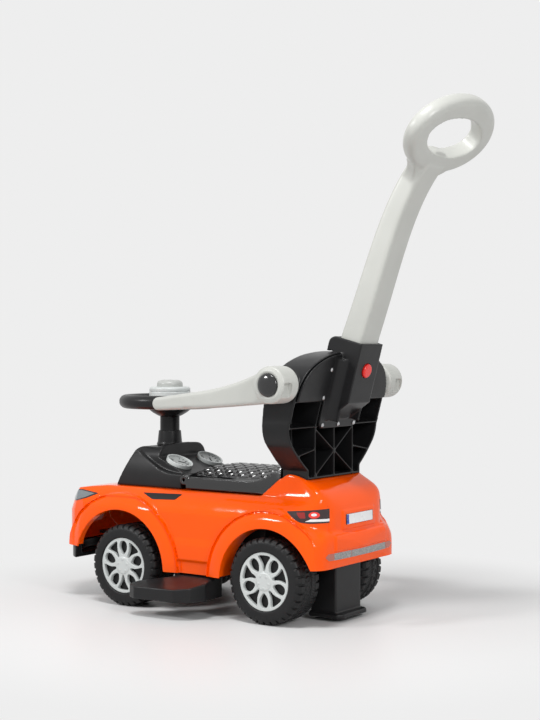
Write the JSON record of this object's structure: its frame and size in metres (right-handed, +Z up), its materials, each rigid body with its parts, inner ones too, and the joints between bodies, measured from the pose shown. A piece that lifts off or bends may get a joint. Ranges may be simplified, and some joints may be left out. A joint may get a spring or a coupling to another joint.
{
  "type": "push car with handle",
  "caption": "Ride-on push car for a toddler with a steering wheel, lift-up seat over a storage tub, backrest, swing-up guard arms and a lift-off parent push handle.",
  "frame": {"origin": "ground level under the centre of the car's bounding box", "axes": "+X towards the rear and the push handle, -X towards the front, -Y the car's left side, +Z up"},
  "size_m": [0.8415, 0.4166, 0.897],
  "materials": {
    "body_orange": "glossy moulded plastic",
    "black_plastic": "satin moulded plastic",
    "wheel_black": "matte blow-moulded plastic",
    "silver_plastic": "silver-grey moulded plastic",
    "grey_plastic": "satin light grey moulded plastic",
    "red_plastic": "glossy moulded plastic",
    "steel": "zinc-plated",
    "clear_lens": "printed lens",
    "smoke_lens": "printed lens",
    "plate_white": "bare printed plate",
    "reflector_grey": "printed strip",
    "gauge_face": "printed dial without figures"
  },
  "bodies": {
    "car": {"front_skirt": "black_plastic", "chassis_tray": "black_plastic", "footrest_left": "black_plastic", "footrest_right": "black_plastic", "anti_tip_stop": "black_plastic", "side_vents": "black_plastic", "front_grille": "black_plastic", "console": "black_plastic", "storage_tub": "black_plastic", "column_sleeve": "black_plastic", "axle_spacers_rear": "black_plastic", "backrest": "black_plastic", "handle_bracket": "black_plastic", "arm_pivot_left": "black_plastic", "arm_pivot_right": "black_plastic", "arm_cap_left": "black_plastic", "arm_cap_right": "black_plastic", "body_shell": "body_orange", "headlights": "clear_lens", "taillights": "smoke_lens", "number_plate": "plate_white", "reflector_strip": "reflector_grey", "gauge_bezel_left": "silver_plastic", "gauge_face_left": "gauge_face", "gauge_bezel_right": "silver_plastic", "gauge_face_right": "gauge_face", "rear_axle": "steel", "push_nuts_rear": "steel", "bracket_screws": "steel", "seat_hinge_pin": "steel"},
    "seat": {"seat_lid": "black_plastic"},
    "steering": {"steering_column": "black_plastic", "steering_shaft": "steel", "hub_bowl": "black_plastic", "steering_rim": "black_plastic", "steering_spokes": "silver_plastic", "hub_ring": "silver_plastic", "front_axle_carrier": "black_plastic", "front_axle": "steel", "push_nuts_front": "steel", "axle_spacers_front": "black_plastic"},
    "horn": {"horn_cap": "grey_plastic"},
    "music_left": {"music_button_left": "red_plastic"},
    "music_right": {"music_button_right": "red_plastic"},
    "handle": {"push_handle": "grey_plastic"},
    "release": {"release_button": "red_plastic"},
    "arm_left": {"guard_arm_left": "grey_plastic"},
    "arm_right": {"guard_arm_right": "grey_plastic"},
    "wheel_front_left": {"tyre_front_left": "wheel_black", "wheel_cover_front_left": "silver_plastic"},
    "wheel_front_right": {"tyre_front_right": "wheel_black", "wheel_cover_front_right": "silver_plastic"},
    "wheel_rear_left": {"tyre_rear_left": "wheel_black", "wheel_cover_rear_left": "silver_plastic"},
    "wheel_rear_right": {"tyre_rear_right": "wheel_black", "wheel_cover_rear_right": "silver_plastic"}
  },
  "joints": [
    {"name": "steering_turn", "type": "hinge", "parent": "car", "child": "steering", "pos_m": [-0.23675, 0, 0.2], "axis": [0, 0, 1], "range_deg": [-15, 15]},
    {"name": "spin_front_left", "type": "hinge", "parent": "steering", "child": "wheel_front_left", "pos_m": [-0.23675, -0.106, 0.075], "axis": [0, 1, 0], "continuous": true},
    {"name": "spin_front_right", "type": "hinge", "parent": "steering", "child": "wheel_front_right", "pos_m": [-0.23675, 0.106, 0.075], "axis": [0, 1, 0], "continuous": true},
    {"name": "spin_rear_left", "type": "hinge", "parent": "car", "child": "wheel_rear_left", "pos_m": [0.08025, -0.106, 0.075], "axis": [0, 1, 0], "continuous": true},
    {"name": "spin_rear_right", "type": "hinge", "parent": "car", "child": "wheel_rear_right", "pos_m": [0.08025, 0.106, 0.075], "axis": [0, 1, 0], "continuous": true},
    {"name": "horn_press", "type": "slide", "parent": "steering", "child": "horn", "axis": [0, 0, -1], "range_m": [0, 0.003], "stiffness_N_per_m": 400},
    {"name": "music_press_left", "type": "slide", "parent": "steering", "child": "music_left", "axis": [0, 0, -1], "range_m": [0, 0.0015], "stiffness_N_per_m": 300},
    {"name": "music_press_right", "type": "slide", "parent": "steering", "child": "music_right", "axis": [0, 0, -1], "range_m": [0, 0.0015], "stiffness_N_per_m": 300},
    {"name": "seat_lift", "type": "hinge", "parent": "car", "child": "seat", "pos_m": [-0.13075, 0, 0.235], "axis": [0, -1, 0], "range_deg": [0, 60]},
    {"name": "handle_lift", "type": "slide", "parent": "car", "child": "handle", "axis": [0.2588, 0, 0.9659], "range_m": [0, 0.11]},
    {"name": "release_press", "type": "slide", "parent": "car", "child": "release", "axis": [-0.9659, 0, 0.2588], "range_m": [0, 0.004], "stiffness_N_per_m": 400},
    {"name": "arm_swing_left", "type": "hinge", "parent": "car", "child": "arm_left", "pos_m": [0.13225, -0.176, 0.415], "axis": [0, 1, 0], "range_deg": [0, 90]},
    {"name": "arm_swing_right", "type": "hinge", "parent": "car", "child": "arm_right", "pos_m": [0.13225, 0.176, 0.415], "axis": [0, 1, 0], "range_deg": [0, 90]}
  ]
}
